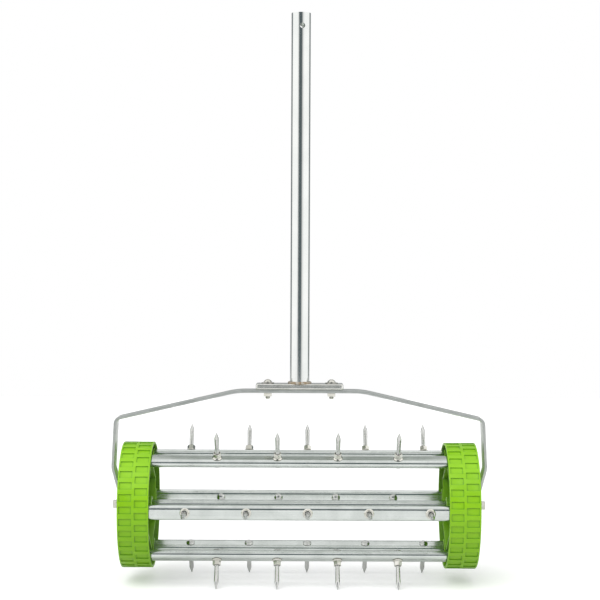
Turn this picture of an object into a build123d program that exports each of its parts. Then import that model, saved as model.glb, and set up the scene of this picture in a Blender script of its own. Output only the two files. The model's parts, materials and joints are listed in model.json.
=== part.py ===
from build123d import *
import os
from math import cos, radians, sin, tan

os.makedirs("parts", exist_ok=True)

# Rolling lawn aerator: a spiked drum that turns on an axle held by a bent flat-bar yoke, with a handle
# foot bolted on the yoke and the lower handle tube welded to the foot.
# Millimetres. +X runs along the axle, +Z is up, and Z = 0 is the ground under the lowest spike tips.
# A rail's angle is counted from the front (-Y) upwards about the axle.

HEX_CORNER_CUT = 0.5      # taken off the corners of every nut and bolt head

# Rails: six flat-oval tubes that join the wheels and carry the spikes through their flat faces
RAIL_COUNT = 6
RAIL_WIDTH = 19.0
RAIL_THICKNESS = 11.0
RAIL_WALL = 1.0
RAIL_CIRCLE_R = 68.75
RAIL_END_GAP = 0.3

# Spikes: alternate rails carry five and four
SPIKE_COUNTS = (5, 4)
SPIKE_PITCH = 76.0
SPIKE_SHIFT = 10.6
SPIKE_TIP_R = 113.0
SPIKE_TIP_FLAT_R = 0.4
SPIKE_POINT_LENGTH = 8.6
SPIKE_SHANK_R = 2.95
SPIKE_NECK_R = 2.6
SPIKE_THREAD_R = 3.0
SPIKE_THREAD_PAST_NUT = 1.2
SPIKE_HEAD_R = 5.5
SPIKE_HEAD_HEIGHT = 3.0
SPIKE_HOLE_R = 3.1

# Flange nuts that clamp each spike on its rail
NUT_FLATS = 9.0
NUT_HEX_HEIGHT = 5.3
NUT_FLANGE_R = 6.3
NUT_FLANGE_RIM = 0.9
NUT_FLANGE_HEIGHT = 2.2
NUT_BORE_R = 3.05

# Wheels: moulded cups, open towards the middle of the drum
WHEEL_R = 80.0
WHEEL_INNER_X = 186.0
WHEEL_OUTER_X = 225.0
RIM_WALL = 3.0
RIM_EDGE_ROUND = 0.8
WEB_THICKNESS = 3.5
WEB_RECESS = 3.0
CUP_DETAIL_X = 189.0
HUB_R = 10.5
SOCKET_WALL = 2.0
SOCKET_CLEARANCE = 0.05
SOCKET_ROOT_WIDTH = 8.0
HEX_RIB_APOTHEM = 49.0
HEX_RIB_THICKNESS = 2.0
OUTER_RIB_THICKNESS = 2.4
TREAD_COUNT = 33
TREAD_POCKET_SHARE = 0.6
TREAD_DEPTH = 0.8
TREAD_EDGE_BAND = 2.0
TREAD_MIDDLE_RING = 3.6

# Axle: a plain rod with tapped ends, bolted between the yoke's legs
AXLE_R = 6.0
AXLE_RUNNING_CLEARANCE = 0.05
AXLE_THREAD_R = 3.0
AXLE_THREAD_DEPTH = 20.0
AXLE_BOLT_FLATS = 10.0
AXLE_BOLT_HEAD = 6.2
AXLE_WASHER_R = 7.5
AXLE_WASHER_THICKNESS = 1.5
HUB_WASHER_R = 10.0
HUB_WASHER_CLEARANCE = 0.1
DRUM_END_PLAY = 0.3

# Yoke: flat bar on edge of this section, along a centre line given for the right half
BAR_WIDTH = 25.0
BAR_THICKNESS = 4.0
BAR_EDGE_ROUND = 0.7
LEG_GAP = 2.0
YOKE_TOP = 148.3
YOKE_BEND_X = 80.0
YOKE_SHOULDER = (235.0, 110.6)
YOKE_KNEE = (238.0, 48.0)
YOKE_ANKLE_Z = 15.0
YOKE_BEND_RADII = (95.0, 8.0, 18.0, 14.0)

# Handle foot: a strip folded flat on itself, which shows as a groove along its two long sides
FOOT_LENGTH = 112.0
FOOT_WIDTH = 28.0
FOOT_HEIGHT = 7.7
FOOT_END_ROUND = 2.4
FOOT_CORNER_ROUND = 3.0
FOOT_GROOVE_LENGTH = 103.0
FOOT_GROOVE_DEPTH = 1.3
FOOT_GROOVE_HEIGHT = 1.5

# Foot bolts, washers and nuts
FOOT_BOLT_X = 40.8
FOOT_BOLT_R = 2.95
FOOT_BOLT_HOLE_R = 3.2
FOOT_BOLT_HEAD_R = 5.2
FOOT_BOLT_HEAD_HEIGHT = 4.2
FOOT_BOLT_RIM = 1.0
FOOT_BOLT_END = 136.0
CROSS_SLOT_WIDTH = 1.3
CROSS_SLOT_LENGTH = 5.6
CROSS_SLOT_DEPTH = 2.0
FOOT_WASHER_R = 8.2
FOOT_WASHER_THICKNESS = 1.2
FOOT_NUT_FLATS = 10.0
FOOT_NUT_HEIGHT = 5.0
THREAD_CLEARANCE = 0.05

# Handle tube
TUBE_R = 12.5
TUBE_WALL = 1.2
TUBE_TOP = 629.5
TUBE_HOLE_R = 3.5
TUBE_HOLE_BELOW_TOP = 17.0
TUBE_HOLE_TURN = 8.7
WELD_LEG = 3.0

# Worked out from the above
AXLE_Z = SPIKE_TIP_R * cos(radians(30)) + SPIKE_TIP_FLAT_R * sin(radians(30))
RAIL_INSIDE = RAIL_CIRCLE_R - RAIL_THICKNESS / 2
RAIL_OUTSIDE = RAIL_CIRCLE_R + RAIL_THICKNESS / 2
NUT_TOP = RAIL_OUTSIDE + NUT_FLANGE_HEIGHT + NUT_HEX_HEIGHT
WEB_OUTER_X = WHEEL_OUTER_X - WEB_RECESS
WEB_INNER_X = WEB_OUTER_X - WEB_THICKNESS
RAIL_HALF_LENGTH = WEB_INNER_X - RAIL_END_GAP
LEG_INNER_X = WHEEL_OUTER_X + LEG_GAP
LEG_OUTER_X = LEG_INNER_X + BAR_THICKNESS
FOOT_TOP = YOKE_TOP + FOOT_HEIGHT
ANGLES = [360 / RAIL_COUNT * i for i in range(RAIL_COUNT)]


def outward(angle):
    """Unit vector that points out of the drum at a rail's angle."""
    return Vector(0, -cos(radians(angle)), sin(radians(angle)))


def frame_at(x, angle):
    """Plane on the axle at x, whose local Z points outwards at the angle."""
    return Plane(origin=(x, 0, AXLE_Z), x_dir=(1, 0, 0), z_dir=outward(angle))


def along_x(shape, x):
    """Turn a shape's Z axis to +X and put its origin on the axle at x."""
    return Pos(x, 0, AXLE_Z) * Rot(0, 90, 0) * shape


def rod_x(r, x0, x1):
    """Solid rod round the axle's line from x0 to x1."""
    return along_x(Pos(0, 0, (x1 - x0) / 2) * Cylinder(r, x1 - x0), x0)


def oval_x(offset, x0, x1, angle):
    """Solid flat-oval bar from x0 to x1 on a rail's line, the rail's section grown by the offset."""
    place = Vector(x0, 0, AXLE_Z) + outward(angle) * RAIL_CIRCLE_R
    across = Vector(0, sin(radians(angle)), cos(radians(angle)))
    section = SlotOverall(RAIL_WIDTH + 2 * offset, RAIL_THICKNESS + 2 * offset)
    return extrude(Plane(origin=place, x_dir=across, z_dir=(1, 0, 0)) * section, x1 - x0)


def rod_z(r, z0, z1):
    """Solid rod on the Z axis from z0 to z1."""
    return Pos(0, 0, (z0 + z1) / 2) * Cylinder(r, z1 - z0)


def hex_z(flats, z0, z1):
    """Hexagon bar on the Z axis, with its corners chamfered at the top."""
    bar = extrude(Pos(0, 0, z0) * RegularPolygon(flats / 2, 6, major_radius=False), z1 - z0)
    top_r = flats / 2 / cos(radians(30)) - HEX_CORNER_CUT
    height = z1 - z0
    return bar & Pos(0, 0, (z0 + z1) / 2) * Cone(top_r + height, top_r, height)


def turned(points):
    """Solid of revolution about Z from (radius, height) points, closed along the axis."""
    outline = [(0, points[0][1])] + points + [(0, points[-1][1])]
    return revolve(make_face(Plane.XZ * Polyline(*outline, close=True)), Axis.Z)


def dome(r, z, height, rim=0.0):
    """Domed head on the plane z: a low rim, then a spherical cap."""
    cap_height = height - rim
    sphere_r = (r * r + cap_height * cap_height) / (2 * cap_height)
    ball = Pos(0, 0, z + height - sphere_r) * Sphere(sphere_r)
    return rod_z(r, z, z + height) & ball


def group(solids):
    """One node made of several separate solids."""
    return Compound(children=list(solids))


def spike_places(rail):
    """X of each spike on a rail."""
    count = SPIKE_COUNTS[rail % 2]
    return [SPIKE_SHIFT + SPIKE_PITCH * (i - (count - 1) / 2) for i in range(count)]


def rail(number):
    """Rail tube with a hole through both walls for each spike."""
    angle = ANGLES[number]
    tube = oval_x(0, -RAIL_HALF_LENGTH, RAIL_HALF_LENGTH, angle)
    tube -= oval_x(-RAIL_WALL, -RAIL_HALF_LENGTH, RAIL_HALF_LENGTH, angle)
    drill = rod_z(SPIKE_HOLE_R, RAIL_INSIDE - 1, RAIL_OUTSIDE + 1)
    return tube - [frame_at(x, angle) * drill for x in spike_places(number)]


def spike():
    """Spike on the Z axis: domed head inside the drum, thread through the rail, shank and point."""
    thread_end = NUT_TOP + SPIKE_THREAD_PAST_NUT
    shank = turned([
        (SPIKE_THREAD_R, RAIL_INSIDE - 0.5),
        (SPIKE_THREAD_R, thread_end),
        (SPIKE_NECK_R, thread_end + 0.8),
        (SPIKE_SHANK_R, SPIKE_TIP_R - SPIKE_POINT_LENGTH - 1.5),
        (SPIKE_SHANK_R, SPIKE_TIP_R - SPIKE_POINT_LENGTH),
        (SPIKE_TIP_FLAT_R, SPIKE_TIP_R),
    ])
    head = Pos(0, 0, RAIL_INSIDE) * Rot(180, 0, 0) * dome(SPIKE_HEAD_R, 0, SPIKE_HEAD_HEIGHT, 0.7)
    return head + shank


def flange_nut():
    """Flange nut on the Z axis, seated on the outside of a rail."""
    seat = RAIL_OUTSIDE
    flange_top = seat + NUT_FLANGE_HEIGHT
    flange = turned([
        (NUT_FLANGE_R, seat),
        (NUT_FLANGE_R, seat + NUT_FLANGE_RIM),
        (NUT_FLATS / 2 + 0.3, flange_top),
    ])
    return flange + hex_z(NUT_FLATS, flange_top, NUT_TOP) - rod_z(NUT_BORE_R, seat - 1, NUT_TOP + 1)


def on_rail(number, shape):
    """Copies of a shape at every spike place of a rail."""
    return group(frame_at(x, ANGLES[number]) * shape for x in spike_places(number))


def wheel_shell():
    """Rim, web and hub of the right-hand wheel, before its sockets and ribs."""
    rim = rod_x(WHEEL_R, WHEEL_INNER_X, WHEEL_OUTER_X)
    rim = chamfer(rim.edges().filter_by(GeomType.CIRCLE), RIM_EDGE_ROUND)
    rim -= rod_x(WHEEL_R - RIM_WALL, WHEEL_INNER_X - 1, WHEEL_OUTER_X + 1)
    web = rod_x(WHEEL_R - RIM_WALL / 2, WEB_INNER_X, WEB_OUTER_X)
    return rim + web + rod_x(HUB_R, CUP_DETAIL_X, WHEEL_OUTER_X)


def cup_ribs():
    """Straight ribs inside the cup, each across the face of one rail."""
    length = 2 * HEX_RIB_APOTHEM * (3 ** -0.5)
    depth = WEB_INNER_X - CUP_DETAIL_X + 1
    plate = Pos(CUP_DETAIL_X + depth / 2, 0, HEX_RIB_APOTHEM) * Box(depth, length, HEX_RIB_THICKNESS)
    return [frame_at(0, angle) * plate for angle in ANGLES]


def outer_ribs():
    """Radial ribs in the shallow recess of the wheel's outer face, between the rails."""
    length = WHEEL_R - RIM_WALL - HUB_R + 1.5
    depth = WEB_RECESS - 0.8
    plate = Pos(WEB_OUTER_X + depth / 2 - 0.1, 0, HUB_R + length / 2 - 0.5)
    plate *= Box(depth + 0.2, OUTER_RIB_THICKNESS, length)
    return [frame_at(0, angle + 30) * plate for angle in ANGLES]


def tread_pocket(x0, x1):
    """Cutter for one shallow tread pocket, centred on the front of the wheel."""
    floor_r = WHEEL_R - TREAD_DEPTH
    half = 180 / TREAD_COUNT * TREAD_POCKET_SHARE
    ring = Circle(WHEEL_R + 1) - Circle(floor_r)
    reach = WHEEL_R + 5
    spread = reach * tan(radians(half))
    wedge = make_face(Polyline((0, 0), (reach, -spread), (reach, spread), close=True))
    sector = (ring & wedge).faces()[0]
    return along_x(extrude(sector, x1 - x0), x0)


def tread_pockets():
    """Two rows of pockets, the outer row half a pitch on from the inner one."""
    middle = (WHEEL_INNER_X + WHEEL_OUTER_X) / 2
    rows = (
        (WHEEL_INNER_X + TREAD_EDGE_BAND, middle - TREAD_MIDDLE_RING / 2, 0.0),
        (middle + TREAD_MIDDLE_RING / 2, WHEEL_OUTER_X - TREAD_EDGE_BAND, 0.5),
    )
    spin = Axis((0, 0, AXLE_Z), (1, 0, 0))
    pockets = []
    for x0, x1, offset in rows:
        cutter = tread_pocket(x0, x1)
        pockets += [cutter.rotate(spin, 360 / TREAD_COUNT * (i + offset)) for i in range(TREAD_COUNT)]
    return pockets


def sockets():
    """Oval collars round the rail ends, each with a root that joins it to the rim."""
    end = WEB_INNER_X + 1
    length = end - CUP_DETAIL_X
    height = WHEEL_R - RIM_WALL / 2 - RAIL_CIRCLE_R
    root = Pos(CUP_DETAIL_X + length / 2, 0, RAIL_CIRCLE_R + height / 2)
    root *= Box(length, SOCKET_ROOT_WIDTH, height)
    collars = [oval_x(SOCKET_CLEARANCE + SOCKET_WALL, CUP_DETAIL_X, end, angle) for angle in ANGLES]
    return collars + [frame_at(0, angle) * root for angle in ANGLES]


def wheel():
    """Right-hand wheel with its rail sockets, ribs, bores and tread."""
    body = wheel_shell() + cup_ribs() + outer_ribs() + sockets()
    body -= [oval_x(SOCKET_CLEARANCE, WHEEL_INNER_X - 1, WEB_INNER_X, angle) for angle in ANGLES]
    body -= rod_x(AXLE_R + AXLE_RUNNING_CLEARANCE, WHEEL_INNER_X, WHEEL_OUTER_X + 1)
    return body - tread_pockets()


def axle_rod():
    """Axle rod between the yoke's legs, tapped at both ends."""
    rod = rod_x(AXLE_R, -LEG_INNER_X, LEG_INNER_X)
    rod = chamfer(rod.edges().filter_by(GeomType.CIRCLE), 0.6)
    tap_r = AXLE_THREAD_R + THREAD_CLEARANCE
    for side in (-1, 1):
        ends = sorted((side * (LEG_INNER_X + 1), side * (LEG_INNER_X - AXLE_THREAD_DEPTH)))
        rod -= rod_x(tap_r, *ends)
    return rod


def axle_bolt():
    """Right-hand axle bolt: hexagon head outside the leg's washer."""
    seat = LEG_OUTER_X + AXLE_WASHER_THICKNESS
    head = hex_z(AXLE_BOLT_FLATS, 0, AXLE_BOLT_HEAD)
    shank_length = seat - LEG_INNER_X + AXLE_THREAD_DEPTH - 2
    return along_x(head + rod_z(AXLE_THREAD_R, -shank_length, 1), seat)


def washer_x(r, hole_r, x0, x1):
    """Flat washer on the axle."""
    return rod_x(r, x0, x1) - rod_x(hole_r, x0 - 1, x1 + 1)


def both_sides(shape):
    """A right-hand piece and its mirror image, as one node."""
    return group([shape, mirror(shape, about=Plane.YZ)])


def yoke_path():
    """Centre line of the whole yoke, from one axle end over the top to the other."""
    top = YOKE_TOP - BAR_THICKNESS / 2
    leg_x = (LEG_INNER_X + LEG_OUTER_X) / 2
    right = [(YOKE_BEND_X, top), YOKE_SHOULDER, YOKE_KNEE, (leg_x, YOKE_ANKLE_Z), (leg_x, 0)]
    points = [(-x, z) for x, z in reversed(right)] + right
    corners = [Vector(x, 0, z + AXLE_Z) for x, z in points]
    radii = list(reversed(YOKE_BEND_RADII)) + list(YOKE_BEND_RADII)
    return FilletPolyline(*corners, radius=radii)


def yoke():
    """Bent flat bar with rounded lower ends, an axle hole in each leg and two foot bolt holes."""
    path = yoke_path()
    start = Plane(origin=path @ 0, x_dir=(0, 1, 0), z_dir=path % 0)
    bar = sweep(start * RectangleRounded(BAR_WIDTH, BAR_THICKNESS, BAR_EDGE_ROUND), path=path)
    for x0 in (-LEG_OUTER_X, LEG_INNER_X):
        bar += rod_x(BAR_WIDTH / 2, x0, x0 + BAR_THICKNESS)
    bar -= rod_x(AXLE_THREAD_R + 0.2, -LEG_OUTER_X - 1, LEG_OUTER_X + 1)
    drill = rod_z(FOOT_BOLT_HOLE_R, AXLE_Z + YOKE_TOP - BAR_THICKNESS - 1, AXLE_Z + YOKE_TOP + 1)
    return bar - [Pos(x, 0, 0) * drill for x in (-FOOT_BOLT_X, FOOT_BOLT_X)]


def handle_foot():
    """Folded strip: rounded ends, a groove along each long side and two bolt holes."""
    middle = AXLE_Z + YOKE_TOP + FOOT_HEIGHT / 2
    block = Pos(0, 0, middle) * Box(FOOT_LENGTH, FOOT_WIDTH, FOOT_HEIGHT)
    block = fillet(block.edges().filter_by(Axis.Z), FOOT_CORNER_ROUND)
    ends = block.faces().filter_by(Axis.Z).edges()
    block = fillet(ends, min(FOOT_END_ROUND, FOOT_CORNER_ROUND - 0.4))
    for side in (-1, 1):
        groove = Box(FOOT_GROOVE_LENGTH, 2 * FOOT_GROOVE_DEPTH, FOOT_GROOVE_HEIGHT)
        block -= Pos(0, side * FOOT_WIDTH / 2, middle) * groove
    drill = rod_z(FOOT_BOLT_HOLE_R, middle - FOOT_HEIGHT, middle + FOOT_HEIGHT)
    return block - [Pos(x, 0, 0) * drill for x in (-FOOT_BOLT_X, FOOT_BOLT_X)]


def foot_bolt():
    """Foot bolt on the Z axis, with a cross slot in its domed head."""
    seat = AXLE_Z + FOOT_TOP + FOOT_WASHER_THICKNESS
    head = dome(FOOT_BOLT_HEAD_R, seat, FOOT_BOLT_HEAD_HEIGHT, FOOT_BOLT_RIM)
    top = seat + FOOT_BOLT_HEAD_HEIGHT
    for turn in (45, 135):
        slot = Box(CROSS_SLOT_LENGTH, CROSS_SLOT_WIDTH, 2 * CROSS_SLOT_DEPTH)
        head -= Pos(0, 0, top) * Rot(0, 0, turn) * slot
    return head + rod_z(FOOT_BOLT_R, AXLE_Z + FOOT_BOLT_END, seat + 1)


def foot_washer():
    """Washer under a foot bolt's head."""
    low = AXLE_Z + FOOT_TOP
    high = low + FOOT_WASHER_THICKNESS
    return rod_z(FOOT_WASHER_R, low, high) - rod_z(FOOT_BOLT_HOLE_R, low - 1, high + 1)


def foot_nut():
    """Hexagon nut under the yoke, chamfered on its lower side."""
    low = AXLE_Z + YOKE_TOP - BAR_THICKNESS - FOOT_NUT_HEIGHT
    nut = Pos(0, 0, low + FOOT_NUT_HEIGHT) * Rot(180, 0, 0) * hex_z(FOOT_NUT_FLATS, 0, FOOT_NUT_HEIGHT)
    return nut - rod_z(FOOT_BOLT_R + THREAD_CLEARANCE, low - 1, low + FOOT_NUT_HEIGHT + 1)


def at_foot_bolts(shape):
    """Copies of a shape at both foot bolts, as one node."""
    return group(Pos(x, 0, 0) * shape for x in (-FOOT_BOLT_X, FOOT_BOLT_X))


def handle_tube():
    """Lower handle tube, open at its top, with a cross hole for the next section's bolt."""
    low = AXLE_Z + FOOT_TOP
    high = AXLE_Z + TUBE_TOP
    tube = rod_z(TUBE_R, low, high) - rod_z(TUBE_R - TUBE_WALL, low - 1, high + 1)
    drill = Rot(0, 0, TUBE_HOLE_TURN) * Rot(90, 0, 0) * Cylinder(TUBE_HOLE_R, 2 * TUBE_R + 4)
    return tube - Pos(0, 0, high - TUBE_HOLE_BELOW_TOP) * drill


def tube_weld():
    """Weld bead round the foot of the handle tube, hollow-faced like a fillet weld."""
    low = AXLE_Z + FOOT_TOP
    corner = (TUBE_R, low)
    outer = (TUBE_R + WELD_LEG, low)
    upper = (TUBE_R, low + WELD_LEG)
    belly = (TUBE_R + 0.42 * WELD_LEG, low + 0.42 * WELD_LEG)
    section = Plane.XZ * (Polyline(upper, corner, outer) + ThreePointArc(outer, belly, upper))
    return revolve(make_face(section), Axis.Z)


NODES = {
    "handle_tube": handle_tube(),
    "tube_weld": tube_weld(),
    "handle_foot": handle_foot(),
    "foot_bolts": at_foot_bolts(foot_bolt()),
    "foot_washers": at_foot_bolts(foot_washer()),
    "foot_nuts": at_foot_bolts(foot_nut()),
    "yoke": yoke(),
    "axle_rod": axle_rod(),
    "axle_bolts": both_sides(axle_bolt()),
    "axle_washers": both_sides(washer_x(
        AXLE_WASHER_R, AXLE_THREAD_R + 0.2, LEG_OUTER_X, LEG_OUTER_X + AXLE_WASHER_THICKNESS)),
    "hub_washers": both_sides(washer_x(
        HUB_WASHER_R, AXLE_R + HUB_WASHER_CLEARANCE, WHEEL_OUTER_X + DRUM_END_PLAY, LEG_INNER_X)),
}
NODES["wheel_right"] = wheel()
NODES["wheel_left"] = mirror(NODES["wheel_right"], about=Plane.YZ)
for n in range(RAIL_COUNT):
    NODES[f"rail_{n + 1}"] = rail(n)
    NODES[f"spikes_{n + 1}"] = on_rail(n, spike())
    NODES[f"flange_nuts_{n + 1}"] = on_rail(n, flange_nut())

for name, shape in NODES.items():
    export_step(shape, f"parts/{name}.step")
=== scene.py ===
# Rolling lawn aerator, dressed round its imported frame: plated tubes and rails, moulded wheels, turned
# spikes, threaded fasteners, a rippled weld, and a plain pale studio to stand in.
# Metres throughout. +X runs along the axle, +Z is up, and the front of the roller faces -Y.

import json
import logging
from dataclasses import dataclass, field
from enum import Enum
from math import asin, cos, pi, radians, sin, tau
from typing import Iterable, Sequence

import bpy
from mathutils import Matrix, Vector


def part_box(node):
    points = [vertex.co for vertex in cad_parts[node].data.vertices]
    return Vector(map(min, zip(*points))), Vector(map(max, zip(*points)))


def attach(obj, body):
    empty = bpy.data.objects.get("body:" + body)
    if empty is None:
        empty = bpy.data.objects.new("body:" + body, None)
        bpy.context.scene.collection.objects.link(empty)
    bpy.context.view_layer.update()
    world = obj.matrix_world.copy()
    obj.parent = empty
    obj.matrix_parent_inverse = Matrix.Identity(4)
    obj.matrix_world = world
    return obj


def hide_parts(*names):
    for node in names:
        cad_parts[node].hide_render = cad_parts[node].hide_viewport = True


LOG = logging.getLogger("lawn_aerator")
MM = 0.001
SMOOTH_ANGLE = radians(32)
NOISE_LOW, NOISE_HIGH = 0.3, 0.7
OPEN_SURFACE = 0.92
RIPPLE_SLANT = 1.4
RIPPLE_UNEVENNESS = 5.0
RIPPLE_NOISE = 210.0
RAIL_COUNT = 6
RAIL_STEP = tau / RAIL_COUNT

Colour = tuple[float, float, float]
Point2 = tuple[float, float]
Socket = bpy.types.NodeSocket

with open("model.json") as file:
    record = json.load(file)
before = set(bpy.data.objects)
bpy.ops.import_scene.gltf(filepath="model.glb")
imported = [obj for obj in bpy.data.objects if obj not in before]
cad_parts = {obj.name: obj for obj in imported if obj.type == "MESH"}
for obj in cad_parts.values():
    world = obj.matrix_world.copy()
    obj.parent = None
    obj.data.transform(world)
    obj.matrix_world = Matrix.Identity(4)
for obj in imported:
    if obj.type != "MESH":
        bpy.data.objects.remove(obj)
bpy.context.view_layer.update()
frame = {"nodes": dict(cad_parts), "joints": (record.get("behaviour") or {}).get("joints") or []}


class Body(Enum):
    """The bodies of the frame that pieces ride on."""

    YOKE = "yoke_frame"
    DRUM = "spike_drum"


class Slot(Enum):
    """The record's material slots."""

    TUBE = "tube_plating"
    FOOT = "foot_plating"
    YOKE = "yoke_plating"
    RAIL = "rail_plating"
    SPIKE = "spike_steel"
    ZINC = "fastener_zinc"
    WELD = "weld_metal"
    PLASTIC = "wheel_plastic"


class Cut(Enum):
    """What a mesh boolean does with its parts."""

    JOIN = "UNION"
    TAKE_AWAY = "DIFFERENCE"


class SocketKind(Enum):
    """Kinds of named input on a Geometry Nodes tree."""

    WHOLE = "NodeSocketInt"
    NUMBER = "NodeSocketFloat"
    PART = "NodeSocketObject"
    FINISH = "NodeSocketMaterial"


# ---------------------------------------------------------------- node trees


class NodeBoard:
    """A node tree being wired up."""

    def __init__(self, tree: bpy.types.NodeTree) -> None:
        """Take hold of a tree.

        Args:
            tree: the node tree.
        """
        self.tree = tree

    def node(
        self, kind: str, inputs: dict[str, object] | None = None, **settings: object
    ) -> bpy.types.Node:
        """Add a node and fill its inputs.

        Args:
            kind: the node's type name.
            inputs: values or sockets for its inputs, by name or identifier.
            settings: properties to set on it first.

        Returns:
            The new node.
        """
        made = self.tree.nodes.new(kind)
        for key, value in settings.items():
            setattr(made, key, value)
        for key, value in (inputs or {}).items():
            socket = next(s for s in made.inputs if key in (s.name, s.identifier) and s.enabled)
            for one in value if isinstance(value, list) else [value]:
                self.feed(socket, one)
        return made

    def feed(self, socket: Socket, value: object) -> None:
        """Link a socket to an input, or set the input to a plain value.

        Args:
            socket: the input.
            value: a socket or a value.
        """
        if isinstance(value, Socket):
            self.tree.links.new(value, socket)
        else:
            socket.default_value = value

    def maths(self, operation: str, first: object, second: object = 0.0) -> Socket:
        """Do one sum.

        Args:
            operation: the sum's name.
            first: its first number or socket.
            second: its second number or socket.

        Returns:
            The result's socket.
        """
        made = self.node("ShaderNodeMath", operation=operation)
        for socket, value in zip(made.inputs, (first, second)):
            self.feed(socket, value)
        return made.outputs[0]

    def mixed(self, share: Socket, first: object, second: object) -> Socket:
        """Mix two colours.

        Args:
            share: how much of the second colour shows, 0 to 1.
            first: the colour, or its socket, where the share is 0.
            second: the colour, or its socket, where the share is 1.

        Returns:
            The mixed colour.
        """
        made = self.node("ShaderNodeMix", {
            "Factor_Float": share, "A_Color": first, "B_Color": second}, data_type="RGBA")
        return next(s for s in made.outputs if s.identifier == "Result_Color")

    def ramp(self, value: Socket, start: Point2, end: Point2, smooth: bool = True) -> Socket:
        """Carry a value from one range to another, held at both ends.

        Args:
            value: the value.
            start: a value and what it becomes.
            end: another value and what it becomes.
            smooth: whether the way between is eased.

        Returns:
            The carried value.
        """
        made = self.node("ShaderNodeMapRange", {
            "Value": value, "From Min": start[0], "From Max": end[0], "To Min": start[1], "To Max": end[1],
        }, interpolation_type="SMOOTHSTEP" if smooth else "LINEAR")
        return made.outputs["Result"]


# ---------------------------------------------------------------- finishes


class FinishNodes(NodeBoard):
    """A node material being put together round one Principled shader."""

    def __init__(self, name: str) -> None:
        """Start a material.

        Args:
            name: the material's name.
        """
        self.material = bpy.data.materials.new(name)
        self.material.use_nodes = True
        super().__init__(self.material.node_tree)
        self.shader = self.tree.nodes["Principled BSDF"]
        self.place = self.node("ShaderNodeTexCoord").outputs["Object"]

    def constant(self, socket: str, value: object) -> None:
        """Set one of the shader's own sockets."""
        self.shader.inputs[socket].default_value = value

    def link(self, source: Socket, socket: str) -> None:
        """Link a value to one of the shader's sockets."""
        self.tree.links.new(source, self.shader.inputs[socket])

    def noise(self, per_metre: Colour, detail: float = 3.0, twist: float = 0.0) -> Socket:
        """Noise on Object coordinates.

        Args:
            per_metre: how often the pattern repeats along x, y and z.
            detail: the noise's octaves.
            twist: the noise's distortion.

        Returns:
            The noise's value, about 0 to 1.
        """
        place = self.node("ShaderNodeMapping", {"Vector": self.place, "Scale": per_metre}).outputs[0]
        made = self.node("ShaderNodeTexNoise", {
            "Vector": place, "Scale": 1.0, "Detail": detail, "Distortion": twist})
        return made.outputs["Fac"]

    def spread(self, value: Socket, low: float, high: float) -> Socket:
        """Spread the middle of a noise over a range.

        Args:
            value: noise of about 0 to 1.
            low: what its lowest common value becomes.
            high: what its highest common value becomes.

        Returns:
            The spread value.
        """
        return self.ramp(value, (NOISE_LOW, low), (NOISE_HIGH, high))

    def blend(self, value: Socket, first: Colour, second: Colour) -> Socket:
        """Mix two colours by a noise.

        Args:
            value: noise of about 0 to 1.
            first: the colour where it is low.
            second: the colour where it is high.

        Returns:
            The mixed colour.
        """
        return self.mixed(self.spread(value, 0.0, 1.0), (*first, 1), (*second, 1))

    def with_painted_shade(
        self, colour: Socket, deep: Colour, reach: float, low: float = 0.35, own: bool = False
    ) -> Socket:
        """Paint shade into a colour: darker in creases and hollows, where nearby surfaces close it in.

        Args:
            colour: the surface's colour.
            deep: the colour of the painted shade.
            reach: how near a facing surface counts, in metres.
            low: openness at which the painted shade is darkest.
            own: whether only the piece itself shades its hollows.

        Returns:
            The colour with the shade painted in.
        """
        # Painted shade: ambient occlusion pulls the colour towards deep where the surface is closed in.
        hollow = self.node("ShaderNodeAmbientOcclusion", {"Distance": reach}, samples=12, only_local=own)
        openness = self.ramp(hollow.outputs["AO"], (low, 0.0), (OPEN_SURFACE, 1.0), smooth=False)
        return self.mixed(openness, (*deep, 1), colour)

    def bump(self, heights: Iterable[tuple[Socket, float]]) -> None:
        """Give the surface fine relief.

        Args:
            heights: pairs of a noise and the relief's depth in metres.
        """
        normal = None
        for height, depth in heights:
            bump = self.node("ShaderNodeBump", {"Strength": 1.0, "Distance": depth, "Height": height})
            if normal:
                self.tree.links.new(normal, bump.inputs["Normal"])
            normal = bump.outputs["Normal"]
        self.link(normal, "Normal")


@dataclass(frozen=True)
class Plating:
    """A plated metal: its tone, its gloss, the lines it was drawn or rolled with, its mottling, and for
    some a shade painted into its creases.

    The grain is how often the lines repeat per metre along x, y and z, so it is low along the stock.
    """

    name: str
    colour: Colour
    shade: Colour
    roughness: float
    roughness_spread: float
    grain: Colour
    grain_depth: float
    mottle: float = 120.0
    mottle_depth: float = 0.02 * MM
    # Reach and colour of the shade painted into creases; a reach of 0 paints none.
    crease_shade_reach: float = 0.0
    crease_shade_colour: Colour = (0.16, 0.155, 0.14)

    def material(self) -> bpy.types.Material:
        """Build the plated material.

        Returns:
            The material.
        """
        finish = FinishNodes(self.name)
        lines = finish.noise(self.grain, detail=4.0)
        clouds = finish.noise((self.mottle,) * 3, detail=3.0, twist=0.4)
        finish.constant("Metallic", 1.0)
        colour = finish.blend(clouds, self.shade, self.colour)
        # Painted shade: the colour darkens where the metal is closed in by its own creases and by the parts
        # it meets.
        if self.crease_shade_reach:
            colour = finish.with_painted_shade(colour, self.crease_shade_colour, self.crease_shade_reach)
        finish.link(colour, "Base Color")
        finish.link(finish.spread(lines, self.roughness - self.roughness_spread,
                                  self.roughness + self.roughness_spread), "Roughness")
        finish.bump(((lines, self.grain_depth), (clouds, self.mottle_depth)))
        return finish.material


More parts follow.
